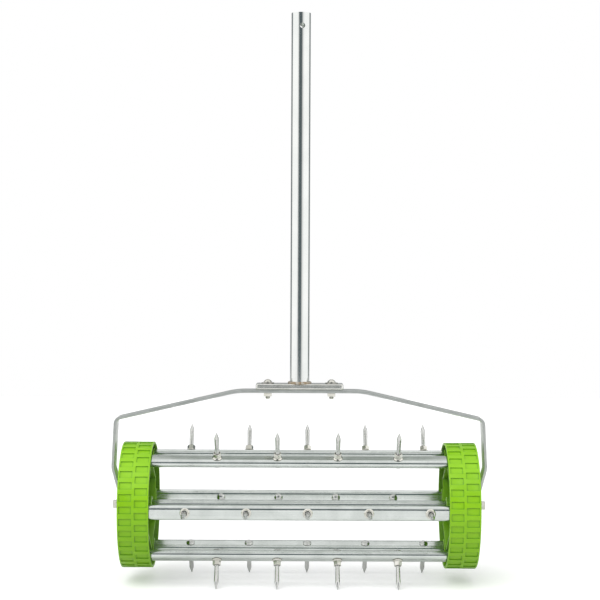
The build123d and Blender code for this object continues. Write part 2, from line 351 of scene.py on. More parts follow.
@dataclass(frozen=True)
class MouldedPlastic:
    """A dyed moulded plastic with faint flow marks, scuffs and a spark-eroded texture, and with shade
    painted into its creases and hollows.
    """

    name: str
    colour: Colour
    deep: Colour
    roughness: float = 0.36
    roughness_spread: Point2 = (0.07, 0.09)
    specular: float = 0.38
    flow: Colour = (14.0, 26.0, 26.0)
    flow_depth: float = 0.06 * MM
    texture: float = 2600.0
    texture_depth: float = 0.022 * MM
    scuffs: float = 55.0
    # Reach and colour of the shade painted into fine creases and into the wheel's larger hollows.
    crease_shade_reach: float = 1.5 * MM
    hollow: float = 60.0 * MM
    crease_shade_colour: Colour = (0.085, 0.27, 0.008)
    hollow_shade_colour: Colour = (0.055, 0.19, 0.012)

    def material(self) -> bpy.types.Material:
        """Build the plastic material.

        Returns:
            The material.
        """
        finish = FinishNodes(self.name)
        flow = finish.noise(self.flow, detail=4.0, twist=0.8)
        scuffs = finish.noise((self.scuffs,) * 3, detail=6.0, twist=1.5)
        skin = finish.noise((self.texture,) * 3, detail=1.0)
        finish.constant("Metallic", 0.0)
        finish.constant("IOR", 1.5)
        finish.constant("Specular IOR Level", self.specular)
        colour = finish.blend(flow, self.deep, self.colour)
        # Painted shade: the green darkens inside the wheel's cup and in the fine creases of its tread, ribs
        # and collars.
        colour = finish.with_painted_shade(colour, self.hollow_shade_colour, self.hollow, 0.25, own=True)
        finish.link(finish.with_painted_shade(colour, self.crease_shade_colour, self.crease_shade_reach, own=True), "Base Color")
        smoother, rougher = self.roughness_spread
        finish.link(finish.spread(scuffs, self.roughness - smoother, self.roughness + rougher), "Roughness")
        finish.bump(((skin, self.texture_depth), (flow, self.flow_depth)))
        return finish.material


@dataclass(frozen=True)
class WeldMetal:
    """Plated weld metal with a heat-brown tint left in the ripples."""

    name: str
    colour: Colour
    burnt: Colour
    tint: Colour = (170.0, 170.0, 90.0)
    pits: float = 1500.0
    pit_depth: float = 0.04 * MM
    roughness: Point2 = (0.26, 0.46)

    def material(self) -> bpy.types.Material:
        """Build the weld's material.

        Returns:
            The material.
        """
        finish = FinishNodes(self.name)
        burn = finish.noise(self.tint, detail=5.0, twist=1.2)
        pits = finish.noise((self.pits,) * 3, detail=2.0)
        finish.constant("Metallic", 1.0)
        finish.link(finish.blend(burn, self.burnt, self.colour), "Base Color")
        finish.link(finish.spread(pits, *self.roughness), "Roughness")
        finish.bump(((pits, self.pit_depth),))
        return finish.material


BRIGHT_TUBE = Plating(
    "bright_tube_plating", colour=(0.865, 0.88, 0.86), shade=(0.81, 0.83, 0.81),
    roughness=0.12, roughness_spread=0.025, grain=(700.0, 700.0, 3.0), grain_depth=0.002 * MM,
    mottle=24.0, mottle_depth=0.006 * MM)
RAIL_PLATING = Plating(
    "rail_plating", colour=(0.81, 0.85, 0.82), shade=(0.70, 0.74, 0.71),
    roughness=0.17, roughness_spread=0.05, grain=(5.0, 850.0, 850.0), grain_depth=0.004 * MM,
    mottle=38.0, mottle_depth=0.01 * MM)
YOKE_PLATING = Plating(
    "yoke_satin_plating", colour=(0.66, 0.68, 0.655), shade=(0.58, 0.605, 0.58),
    roughness=0.36, roughness_spread=0.06, grain=(30.0, 900.0, 420.0), grain_depth=0.007 * MM,
    mottle=70.0, mottle_depth=0.01 * MM)
FOOT_PLATING = Plating(
    "foot_plating", colour=(0.80, 0.80, 0.76), shade=(0.70, 0.705, 0.66),
    roughness=0.22, roughness_spread=0.06, grain=(40.0, 700.0, 300.0), grain_depth=0.006 * MM,
    mottle=110.0, mottle_depth=0.02 * MM)
# Spike steel and fastener zinc have shade painted into their threads and where they meet other parts.
SPIKE_STEEL = Plating(
    "spike_steel", colour=(0.78, 0.785, 0.765), shade=(0.70, 0.705, 0.68),
    roughness=0.23, roughness_spread=0.05, grain=(520.0, 520.0, 520.0), grain_depth=0.002 * MM,
    mottle=150.0, mottle_depth=0.004 * MM, crease_shade_reach=2.0 * MM)
NUT_ZINC = Plating(
    "fastener_zinc", colour=(0.80, 0.79, 0.735), shade=(0.70, 0.69, 0.62),
    roughness=0.13, roughness_spread=0.04, grain=(640.0, 640.0, 640.0), grain_depth=0.002 * MM,
    mottle=160.0, mottle_depth=0.004 * MM, crease_shade_reach=2.5 * MM)
GREEN_PLASTIC = MouldedPlastic(
    "lime_green_plastic", colour=(0.235, 0.500, 0.007), deep=(0.207, 0.455, 0.005))
WELD_METAL = WeldMetal("weld_metal", colour=(0.72, 0.70, 0.64), burnt=(0.36, 0.25, 0.14))


# ---------------------------------------------------------------- meshes


@dataclass(frozen=True)
class Ring:
    """One ring of a turned piece.

    radius and height are the ring's place, flats cuts it to a hexagon of that width over its flats, and
    thread lets a screw ridge of that depth and pitch stand out of it.
    """

    radius: float
    height: float
    flats: float = 0.0
    thread: float = 0.0
    pitch: float = 1.0 * MM

    def reach(self, angle: float) -> float:
        """Distance of the surface from the axis.

        Args:
            angle: where round the ring, in radians.

        Returns:
            The distance in metres.
        """
        reach = self.radius
        if self.flats:
            off_flat = (angle + pi / 6) % (pi / 3) - pi / 6
            reach = min(reach, self.flats / 2 / cos(off_flat))
        if self.thread:
            turn = (self.height / self.pitch - angle / tau) % 1.0
            reach += self.thread * (1 - abs(2 * turn - 1))
        return reach


class Solid:
    """Closed shells being put together into one mesh."""

    def __init__(self) -> None:
        """Start with nothing."""
        self.points: list[Vector] = []
        self.faces: list[tuple[int, ...]] = []

    def add(self, points: Sequence[Vector], faces: Iterable[Sequence[int]]) -> None:
        """Add a shell.

        Args:
            points: the shell's points.
            faces: its faces, as places in the points.
        """
        start = len(self.points)
        self.points += points
        self.faces += [tuple(start + i for i in face) for face in faces]

    def turned(self, rings: Sequence[Ring], segments: int = 48, bored: bool = False) -> "Solid":
        """Add a solid turned about the Z axis.

        Args:
            rings: its rings, upwards on the outside; a bored piece comes back down its bore.
            segments: points round each ring.
            bored: whether the last ring joins the first instead of each end closing on the axis.

        Returns:
            This solid.
        """
        points = []
        for ring in rings:
            for step in range(segments):
                angle = tau * step / segments
                reach = ring.reach(angle)
                points.append(Vector((reach * cos(angle), reach * sin(angle), ring.height)))
        faces = self._bands(len(rings), segments, bored)
        if not bored:
            low, high = len(points), len(points) + 1
            points += [Vector((0, 0, rings[0].height)), Vector((0, 0, rings[-1].height))]
            last = (len(rings) - 1) * segments
            for step in range(segments):
                beyond = (step + 1) % segments
                faces.append((low, beyond, step))
                faces.append((high, last + step, last + beyond))
        self.add(points, faces)
        return self

    def lofted(self, sections: Sequence[Sequence[Vector]]) -> "Solid":
        """Add a closed solid through sections that each go anticlockwise seen from the last one.

        Args:
            sections: the sections' points, as many in each.

        Returns:
            This solid.
        """
        count = len(sections[0])
        points = [point for section in sections for point in section]
        faces = self._bands(len(sections), count, False)
        faces.append(tuple(reversed(range(count))))
        faces.append(tuple(range(len(points) - count, len(points))))
        self.add(points, faces)
        return self

    @staticmethod
    def _bands(rings: int, segments: int, closed: bool) -> list[tuple[int, ...]]:
        """Faces between neighbouring rings of points.

        Args:
            rings: how many rings.
            segments: points in each ring.
            closed: whether the last ring joins the first.

        Returns:
            The faces, as places in the points.
        """
        faces: list[tuple[int, ...]] = []
        for ring in range(rings if closed else rings - 1):
            low = ring * segments
            high = (ring + 1) % rings * segments
            for step in range(segments):
                beyond = (step + 1) % segments
                faces.append((low + step, low + beyond, high + beyond, high + step))
        return faces

    def mesh(self, name: str, place: Matrix = Matrix.Identity(4)) -> bpy.types.Mesh:
        """Make the mesh.

        Args:
            name: the mesh's name.
            place: where the solid goes.

        Returns:
            The mesh, with its place in its points.
        """
        mesh = bpy.data.meshes.new(name)
        mesh.from_pydata([place @ point for point in self.points], [], self.faces)
        mesh.update()
        return mesh

    def part(self, name: str, place: Matrix = Matrix.Identity(4)) -> bpy.types.Object:
        """Make a hidden working object, for a tree to repeat or cut with.

        Args:
            name: the object's name.
            place: where the solid goes.

        Returns:
            The object.
        """
        part = bpy.data.objects.new(name, self.mesh(name, place))
        bpy.context.scene.collection.objects.link(part)
        part.hide_render = True
        return part


def rounded(corners: Sequence[Point2], radii: Sequence[float], steps: int = 4) -> list[Point2]:
    """Round the corners of a closed outline.

    Args:
        corners: the outline's corners.
        radii: each corner's radius, 0 for a sharp one.
        steps: spans on each rounded corner.

    Returns:
        The outline's points.
    """
    outline: list[Point2] = []
    for i, radius in enumerate(radii):
        corner = Vector(corners[i])
        back = (Vector(corners[i - 1]) - corner).normalized()
        on = (Vector(corners[(i + 1) % len(corners)]) - corner).normalized()
        if radius <= 0:
            outline.append(tuple(corner))
            continue
        half = back.angle(on) / 2
        bisector = (back + on).normalized()
        centre = corner + bisector * (radius / sin(half))
        first = (back * (radius * cos(half) / sin(half)) - bisector * (radius / sin(half))).normalized()
        last = (on * (radius * cos(half) / sin(half)) - bisector * (radius / sin(half))).normalized()
        for step in range(steps + 1):
            way = (first * (steps - step) + last * step).normalized()
            outline.append(tuple(centre + way * radius))
    return outline


def dome(radius: float, low: float, height: float, rim: float, steps: int = 7) -> list[Ring]:
    """Rings of a domed head that stands on a plane.

    Args:
        radius: the head's radius.
        low: the plane's height.
        height: the head's height.
        rim: height of the straight rim under the dome.
        steps: rings on the dome.

    Returns:
        The head's rings, upwards.
    """
    cap = height - rim
    ball = (radius * radius + cap * cap) / (2 * cap)
    spread = asin(min(1.0, radius / ball))
    rings = [Ring(radius - 0.15 * MM, low), Ring(radius, low + 0.15 * MM), Ring(radius, low + rim)]
    for step in range(1, steps + 1):
        angle = spread * (1 - step / (steps + 0.6))
        rings.append(Ring(ball * sin(angle), low + height - ball * (1 - cos(angle))))
    return rings


def hexagon(flats: float, low: float, high: float, cut_low: bool, cut_high: bool) -> list[Ring]:
    """Rings of a hexagon bar with its corners turned off.

    Args:
        flats: width over the flats.
        low: height of its lower end.
        high: height of its upper end.
        cut_low: whether the lower corners are turned off.
        cut_high: whether the upper corners are turned off.

    Returns:
        The bar's rings, upwards.
    """
    corner = flats / 2 / cos(pi / 6)
    cut = corner - flats / 2 + 0.15 * MM
    slope = 0.55
    steps = 4
    rings = []
    for step in range(steps + 1):
        share = step / steps
        radius = corner - cut * (1 - share) if cut_low else corner
        rings.append(Ring(radius, low + slope * cut * share, flats))
        if not cut_low:
            break
    for step in range(steps + 1):
        share = step / steps
        radius = corner - cut * share if cut_high else corner
        rings.append(Ring(radius, high - slope * cut * (1 - share if cut_high else 0), flats))
        if not cut_high:
            break
    return rings


def threaded(core: float, depth: float, pitch: float, low: float, high: float) -> list[Ring]:
    """Rings of a screw thread.

    Args:
        core: radius under the thread.
        depth: how far the ridge stands out.
        pitch: length of one turn.
        low: where the thread starts.
        high: where it ends.

    Returns:
        The thread's rings, upwards.
    """
    count = max(2, round((high - low) / (pitch / 4)))
    step = (high - low) / count
    rings = [Ring(core, low + step * i, 0.0, depth, pitch) for i in range(1, count)]
    return [Ring(core, low)] + rings + [Ring(core, high)]


def washer_rings(radius: float, hole: float, low: float, high: float) -> list[Ring]:
    """Rings of a pressed flat washer, softly rounded at its outer edges.

    Args:
        radius: the washer's radius.
        hole: its hole's radius.
        low: height of its lower face.
        high: height of its upper face.

    Returns:
        The washer's rings, for a bored solid.
    """
    edge = 0.25 * MM
    corners = [(hole, low), (radius, low), (radius, high), (hole, high)]
    outline = rounded(corners, [0, edge, edge * 1.6, 0.1 * MM])
    return [Ring(r, z) for r, z in outline]


# ---------------------------------------------------------------- geometry trees


class Tree(NodeBoard):
    """A Geometry Nodes tree with named inputs, baked into a plain mesh when it is used."""

    def __init__(self, name: str) -> None:
        """Start an empty tree.

        Args:
            name: the tree's name.
        """
        super().__init__(bpy.data.node_groups.new(name, "GeometryNodeTree"))
        self.tree.interface.new_socket(
            name="Geometry", in_out="OUTPUT", socket_type="NodeSocketGeometry")
        self.source = self.tree.nodes.new("NodeGroupInput")
        self.identifiers: dict[str, str] = {}

    def named(self, name: str, kind: SocketKind) -> Socket:
        """Add a named input.

        Args:
            name: the input's name.
            kind: what it holds.

        Returns:
            The input's socket inside the tree.
        """
        made = self.tree.interface.new_socket(name=name, in_out="INPUT", socket_type=kind.value)
        self.identifiers[name] = made.identifier
        return next(socket for socket in self.source.outputs if socket.identifier == made.identifier)

    def vector(self, x: object = 0.0, y: object = 0.0, z: object = 0.0) -> Socket:
        """Combine three numbers or sockets."""
        return self.node("ShaderNodeCombineXYZ", {"X": x, "Y": y, "Z": z}).outputs[0]

    def turn(self, x: object = 0.0, y: object = 0.0, z: object = 0.0) -> Socket:
        """Rotation from three angles, numbers or sockets."""
        return self.node("FunctionNodeEulerToRotation", {"Euler": self.vector(x, y, z)}).outputs[0]

    def shape_of(self, part: Socket) -> Socket:
        """Geometry of an object input."""
        return self.node("GeometryNodeObjectInfo", {"Object": part}).outputs["Geometry"]

    def realised(self, geometry: Socket) -> Socket:
        """Realize instances."""
        return self.node("GeometryNodeRealizeInstances", {"Geometry": geometry}).outputs[0]

    def round_the_axle(
        self, part: Socket, count: object, phase: object
    ) -> Socket:
        """Repeat a part round the X axis.

        Args:
            part: the part's geometry.
            count: how many.
            phase: turn of the first one, in radians.

        Returns:
            The realised copies.
        """
        line = self.node("GeometryNodeMeshLine", {"Count": count, "Offset": (0.0, 0.0, 0.0)})
        index = self.node("GeometryNodeInputIndex").outputs[0]
        step = self.maths("DIVIDE", tau, count)
        angle = self.maths("ADD", self.maths("MULTIPLY", index, step), phase)
        copies = self.node("GeometryNodeInstanceOnPoints", {
            "Points": line.outputs[0], "Instance": part, "Rotation": self.turn(x=angle)})
        return self.realised(copies.outputs[0])

    def combined(
        self, how: Cut, base: Socket, others: list[Socket]
    ) -> Socket:
        """Join parts to a base, or cut them out of it.

        Args:
            how: which of the two.
            base: the base's geometry.
            others: the parts' geometry.

        Returns:
            The combined geometry.
        """
        inputs: dict[str, object] = {"Mesh 2": list(others)}
        if how is Cut.JOIN:
            inputs["Mesh 2"] = [base, *others]
        else:
            inputs["Mesh 1"] = base
        made = self.node("GeometryNodeMeshBoolean", inputs, operation=how.value, solver="MANIFOLD")
        return made.outputs[0]

    def finish(self, geometry: Socket, material: Socket) -> None:
        """End the tree in Realize Instances and Set Material.

        Args:
            geometry: what the tree has made.
            material: its finish.
        """
        dressed = self.node("GeometryNodeSetMaterial", {
            "Geometry": self.realised(geometry), "Material": material})
        output = self.tree.nodes.new("NodeGroupOutput")
        self.tree.links.new(dressed.outputs[0], output.inputs[0])

    def mesh(self, name: str, values: dict[str, object]) -> bpy.types.Mesh:
        """Run the tree and keep what it makes.

        Args:
            name: the new mesh's name.
            values: the named inputs' values.

        Returns:
            A plain mesh.
        """
        maker = bpy.data.objects.new(f"{name}_maker", bpy.data.meshes.new(f"{name}_maker"))
        bpy.context.scene.collection.objects.link(maker)
        modifier = maker.modifiers.new("tree", "NODES")
        modifier.node_group = self.tree
        for key, value in values.items():
            modifier[self.identifiers[key]] = value
        graph = bpy.context.evaluated_depsgraph_get()
        made = bpy.data.meshes.new_from_object(
            maker.evaluated_get(graph), preserve_all_data_layers=True, depsgraph=graph)
        maker.modifiers.remove(modifier)
        bpy.data.objects.remove(maker)
        made.name = name
        return made


class RowTree(Tree):
    """A part repeated along the axle, each copy turned about its own axis, the row turned to its rail."""

    def __init__(self) -> None:
        """Build the tree."""
        super().__init__("row_along_axle")
        part = self.named("Part", SocketKind.PART)
        count = self.named("Count", SocketKind.WHOLE)
        pitch = self.named("Pitch", SocketKind.NUMBER)
        start = self.named("Start", SocketKind.NUMBER)
        height = self.named("Height", SocketKind.NUMBER)
        tilt = self.named("Tilt", SocketKind.NUMBER)
        spin = self.named("Spin", SocketKind.NUMBER)
        seed = self.named("Seed", SocketKind.WHOLE)
        finish = self.named("Finish", SocketKind.FINISH)
        line = self.node("GeometryNodeMeshLine", {
            "Count": count, "Start Location": self.vector(x=start), "Offset": self.vector(x=pitch)})
        chance = self.node("FunctionNodeRandomValue", {"Min": 0.0, "Max": spin, "Seed": seed})
        copies = self.node("GeometryNodeInstanceOnPoints", {
            "Points": line.outputs[0], "Instance": self.shape_of(part),
            "Rotation": self.turn(z=chance.outputs[1])})
        placed = self.node("GeometryNodeTransform", {
            "Geometry": self.realised(copies.outputs[0]),
            "Translation": self.vector(z=height), "Rotation": self.turn(x=tilt)})
        self.finish(placed.outputs[0], finish)


class WheelTree(Tree):
    """A moulded wheel: body, collars and ribs joined, then rail holes and tread pockets cut."""

    def __init__(self) -> None:
        """Build the tree."""
        super().__init__("moulded_wheel")
        part = {name: self.shape_of(self.named(name, SocketKind.PART)) for name in (
            "Body", "Collar", "Root", "Cup rib", "Face rib", "Rail hole", "Inner pocket", "Outer pocket")}
        rails = self.named("Rails", SocketKind.WHOLE)
        pockets = self.named("Pockets", SocketKind.WHOLE)
        phase = self.named("Phase", SocketKind.NUMBER)
        height = self.named("Height", SocketKind.NUMBER)
        finish = self.named("Finish", SocketKind.FINISH)
        between = self.maths("DIVIDE", pi, rails)
        half_pitch = self.maths("ADD", phase, self.maths("DIVIDE", pi, pockets))
        body = part["Body"]
        for name, turn in (("Collar", 0.0), ("Root", 0.0), ("Cup rib", 0.0), ("Face rib", between)):
            body = self.combined(Cut.JOIN, body, [self.round_the_axle(part[name], rails, turn)])
        for name, count, turn in (
            ("Rail hole", rails, 0.0),
            ("Inner pocket", pockets, phase),
            ("Outer pocket", pockets, half_pitch),
        ):
            body = self.combined(Cut.TAKE_AWAY, body, [self.round_the_axle(part[name], count, turn)])
        placed = self.node("GeometryNodeTransform", {
            "Geometry": body, "Translation": self.vector(z=height)})
        self.finish(placed.outputs[0], finish)


class BeadTree(Tree):
    """A weld bead round a tube: a ring swept with a section, with overlapping ripples pushed up in it."""

    def __init__(self) -> None:
        """Build the tree."""
        super().__init__("rippled_bead")
        radius = self.named("Radius", SocketKind.NUMBER)
        thickness = self.named("Thickness", SocketKind.NUMBER)
        height = self.named("Height", SocketKind.NUMBER)
        ripples = self.named("Ripples", SocketKind.NUMBER)
        depth = self.named("Depth", SocketKind.NUMBER)
        seed = self.named("Seed", SocketKind.NUMBER)
        finish = self.named("Finish", SocketKind.FINISH)
        path = self.node("GeometryNodeCurvePrimitiveCircle", {"Resolution": 288, "Radius": radius})
        section = self.node("GeometryNodeCurvePrimitiveCircle", {"Resolution": 14, "Radius": thickness})
        bead = self.node("GeometryNodeCurveToMesh", {
            "Curve": path.outputs[0], "Profile Curve": section.outputs[0]})
        place = self.node("GeometryNodeInputPosition").outputs[0]
        parts = self.node("ShaderNodeSeparateXYZ", {"Vector": place}).outputs
        angle = self.maths("ARCTAN2", parts[1], parts[0])
        across = self.maths("DIVIDE", parts[2], thickness)
        slant = self.maths("MULTIPLY", across, RIPPLE_SLANT)
        wave = self.maths("ADD", self.maths("MULTIPLY", angle, ripples), slant)
        noise = self.node("ShaderNodeTexNoise", {
            "Vector": place, "W": seed, "Scale": RIPPLE_NOISE, "Detail": 2.0}, noise_dimensions="4D")
        uneven = self.maths("SUBTRACT", noise.outputs[0], 0.5)
        rise = self.maths(
            "ADD", self.maths("SINE", wave), self.maths("MULTIPLY", uneven, RIPPLE_UNEVENNESS))
        normal = self.node("GeometryNodeInputNormal").outputs[0]
        push = self.node("ShaderNodeVectorMath", {
            "Vector": normal, "Scale": self.maths("MULTIPLY", rise, depth)}, operation="SCALE")
        pushed = self.node("GeometryNodeSetPosition", {
            "Geometry": bead.outputs[0], "Offset": push.outputs[0]})
        placed = self.node("GeometryNodeTransform", {
            "Geometry": pushed.outputs[0], "Translation": self.vector(z=height)})
        self.finish(placed.outputs[0], finish)


# ---------------------------------------------------------------- pieces


@dataclass
class Workshop:
    """What every sub-assembly shares: the trees, the finishes and the axle's height."""

    rows: RowTree = field(default_factory=RowTree)
    wheels: WheelTree = field(default_factory=WheelTree)
    beads: BeadTree = field(default_factory=BeadTree)
    materials: dict[str, bpy.types.Material] = field(default_factory=dict)
    axle_height: float = frame["joints"][0]["pos_m"][2]

    def finish(self, finish: Plating | MouldedPlastic | WeldMetal) -> bpy.types.Material:
        """Build a finish's material, or give the one already built.

        Args:
            finish: the finish.

        Returns:
            Its material.
        """
        if finish.name not in self.materials:
            self.materials[finish.name] = finish.material()
        return self.materials[finish.name]

    def piece(
        self,
        name: str,
        mesh: bpy.types.Mesh,
        body: Body,
        slot: Slot,
        material: bpy.types.Material,
        node: str,
    ) -> bpy.types.Object:
        """Show a finished mesh as a piece that stands for a node of the frame.

        Args:
            name: the piece's name.
            mesh: its mesh, in place.
            body: the body it rides on.
            slot: the record's material slot; not used.
            material: its finish.
            node: the node it replaces.

        Returns:
            The piece.
        """
        mesh.materials.clear()
        mesh.materials.append(material)
        piece = bpy.data.objects.new(name, mesh)
        bpy.context.scene.collection.objects.link(piece)
        smooth(mesh)
        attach(piece, body.value)
        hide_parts(node)
        LOG.info("%s: %d faces, stands for %s", name, len(mesh.polygons), node)
        return piece

    def dress(self, node: str, slot: Slot, material: bpy.types.Material) -> None:
        """Give a node of the frame its finish.

        Args:
            node: the node's name.
            slot: the record's material slot; not used.
            material: its finish.
        """
        shown = frame["nodes"][node]
        shown.data.materials.clear()
        shown.data.materials.append(material)
        LOG.info("%s: dressed in %s", node, material.name)


def smooth(mesh: bpy.types.Mesh) -> None:
    """Shade a mesh smooth, with sharp edges where its faces turn by more than the smooth angle."""
    mesh.polygons.foreach_set("use_smooth", [True] * len(mesh.polygons))
    mesh.set_sharp_from_angle(angle=SMOOTH_ANGLE)
    mesh.update()


def mirrored(mesh: bpy.types.Mesh, name: str) -> bpy.types.Mesh:
    """Copy a mesh to the other side of the roller, with its faces still outwards.

    Args:
        mesh: the mesh.
        name: the copy's name.

    Returns:
        The mirrored copy.
    """
    other = mesh.copy()
    other.name = name
    other.transform(Matrix.Scale(-1, 4, (1, 0, 0)))
    other.flip_normals()
    return other


def tilt_of(rail: int) -> float:
    """Turn about X that points local Z outwards at a rail.

    Args:
        rail: the rail's number, 1 at the front and counted upwards from there.

    Returns:
        The turn in radians.
    """
    return pi / 2 - RAIL_STEP * (rail - 1)


@dataclass
class SpikeRows:
    """The spikes and the flange nuts that clamp them, five and four on alternate rails."""

    shop: Workshop
    counts: tuple[int, int] = (5, 4)
    head_height: float = 3.0 * MM
    head_rim: float = 0.8 * MM
    thread_core: float = 2.62 * MM
    thread_depth: float = 0.36 * MM
    thread_pitch: float = 1.0 * MM
    thread_past_nut: float = 1.2 * MM
    collar: float = 3.05 * MM
    shank: float = 2.95 * MM
    neck: float = 2.6 * MM
    point_length: float = 8.6 * MM
    point_radius: float = 0.4 * MM
    nut_flats: float = 9.0 * MM
    flange_radius: float = 6.3 * MM
    flange_rim: float = 0.9 * MM
    flange_height: float = 2.2 * MM
    nut_bore: float = 3.02 * MM
    bore_chamfer: float = 0.25 * MM
    countersink: float = 0.55 * MM
    flange_edge: float = 0.2 * MM
    spin_seed: int = 7

    def __post_init__(self) -> None:
        """Read from the frame where the front row stands."""
        spikes_low, spikes_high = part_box("spikes_1")
        nuts_low, nuts_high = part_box("flange_nuts_1")
        self.tip = -spikes_low.y
        self.head_low = -spikes_high.y
        self.head_radius = (spikes_high.z - spikes_low.z) / 2
        self.nut_low = -nuts_high.y
        self.nut_high = -nuts_low.y

    def spike(self) -> Solid:
        """Spike on the Z axis: domed head, thread, neck, shank and a point with a softened shoulder.

        Returns:
            The spike.
        """
        seat = self.head_low + self.head_height
        head = [Ring(ring.radius, seat - (ring.height - seat)) for ring in reversed(
            dome(self.head_radius, seat, self.head_height, self.head_rim))]
        thread_end = self.nut_high + self.thread_past_nut
        shoulder = self.tip - self.point_length
        rings = head + [Ring(self.collar, seat), Ring(self.collar, self.nut_low)]
        rings += threaded(
            self.thread_core, self.thread_depth, self.thread_pitch, self.nut_high - MM, thread_end)
        rings += [
            Ring(self.neck, thread_end + 0.5 * MM),
            Ring(self.neck + 0.1 * MM, thread_end + 3.0 * MM),
            Ring(self.shank, shoulder - 2.5 * MM),
            Ring(self.shank + 0.03 * MM, shoulder - 0.7 * MM),
            Ring(self.shank - 0.02 * MM, shoulder),
            Ring(self.shank - 0.35 * MM, shoulder + 0.9 * MM),
            Ring(self.shank * 0.55, shoulder + self.point_length * 0.5),
            Ring(self.point_radius * 1.7, self.tip - 1.1 * MM),
            Ring(self.point_radius, self.tip - 0.25 * MM),
            Ring(self.point_radius * 0.5, self.tip),
        ]
        return Solid().turned(rings, 32)

    def nut(self) -> Solid:
        """Flange nut on the Z axis: dished flange, hexagon with turned corners, countersunk bore.

        Returns:
            The nut.
        """
        low, high = self.nut_low, self.nut_high
        flange_top = low + self.flange_height
        rings = [
            Ring(self.nut_bore + self.bore_chamfer, low),
            Ring(self.flange_radius - self.flange_edge, low),
            Ring(self.flange_radius, low + self.flange_edge),
            Ring(self.flange_radius, low + self.flange_rim - self.flange_edge),
            Ring(self.flange_radius - self.flange_edge, low + self.flange_rim),
            Ring(self.nut_flats / 2 + 0.9 * MM, flange_top - 0.35 * MM),
            Ring(self.nut_flats / 2 + 0.75 * MM, flange_top, self.nut_flats),
        ]
        rings += hexagon(self.nut_flats, flange_top + 0.1 * MM, high, False, True)
        rings += [
            Ring(self.nut_bore + self.countersink, high),
            Ring(self.nut_bore, high - self.countersink),
            Ring(self.nut_bore, low + self.bore_chamfer),
        ]
        return Solid().turned(rings, 48, bored=True)

    def build(self) -> None:
        """Make the six rows of spikes and of nuts."""
        steel = self.shop.finish(SPIKE_STEEL)
        zinc = self.shop.finish(NUT_ZINC)
        spike = self.spike().part("spike_pattern")
        nut = self.nut().part("flange_nut_pattern")
        for rail in range(1, RAIL_COUNT + 1):
            low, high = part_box(f"spikes_{rail}")
            count = self.counts[(rail - 1) % 2]
            row = {
                "Count": count,
                "Pitch": (high.x - low.x - 2 * self.head_radius) / (count - 1),
                "Start": low.x + self.head_radius,
                "Height": self.shop.axle_height,
                "Tilt": tilt_of(rail),
                "Spin": tau,
                "Seed": self.spin_seed + rail,
            }
            spikes = self.shop.rows.mesh(f"spike_row_{rail}", {**row, "Part": spike, "Finish": steel})
            nuts = self.shop.rows.mesh(f"nut_row_{rail}", {**row, "Part": nut, "Finish": zinc})
            self.shop.piece(f"spike_row_{rail}", spikes, Body.DRUM, Slot.SPIKE, steel, f"spikes_{rail}")
            self.shop.piece(f"nut_row_{rail}", nuts, Body.DRUM, Slot.ZINC, zinc, f"flange_nuts_{rail}")
        remove_parts(spike, nut)


def remove_parts(*parts: bpy.types.Object) -> None:
    """Take away working objects once their pieces are made."""
    for part in parts:
        bpy.data.objects.remove(part)


@dataclass
class Rails:
    """The six flat-oval rails and the axle rod, drawn tube with bright plating."""

    shop: Workshop

    def build(self) -> None:
        """Dress the rails and the axle rod."""
        plating = self.shop.finish(RAIL_PLATING)
        for rail in range(1, RAIL_COUNT + 1):
            self.shop.dress(f"rail_{rail}", Slot.RAIL, plating)
        self.shop.dress("axle_rod", Slot.RAIL, plating)


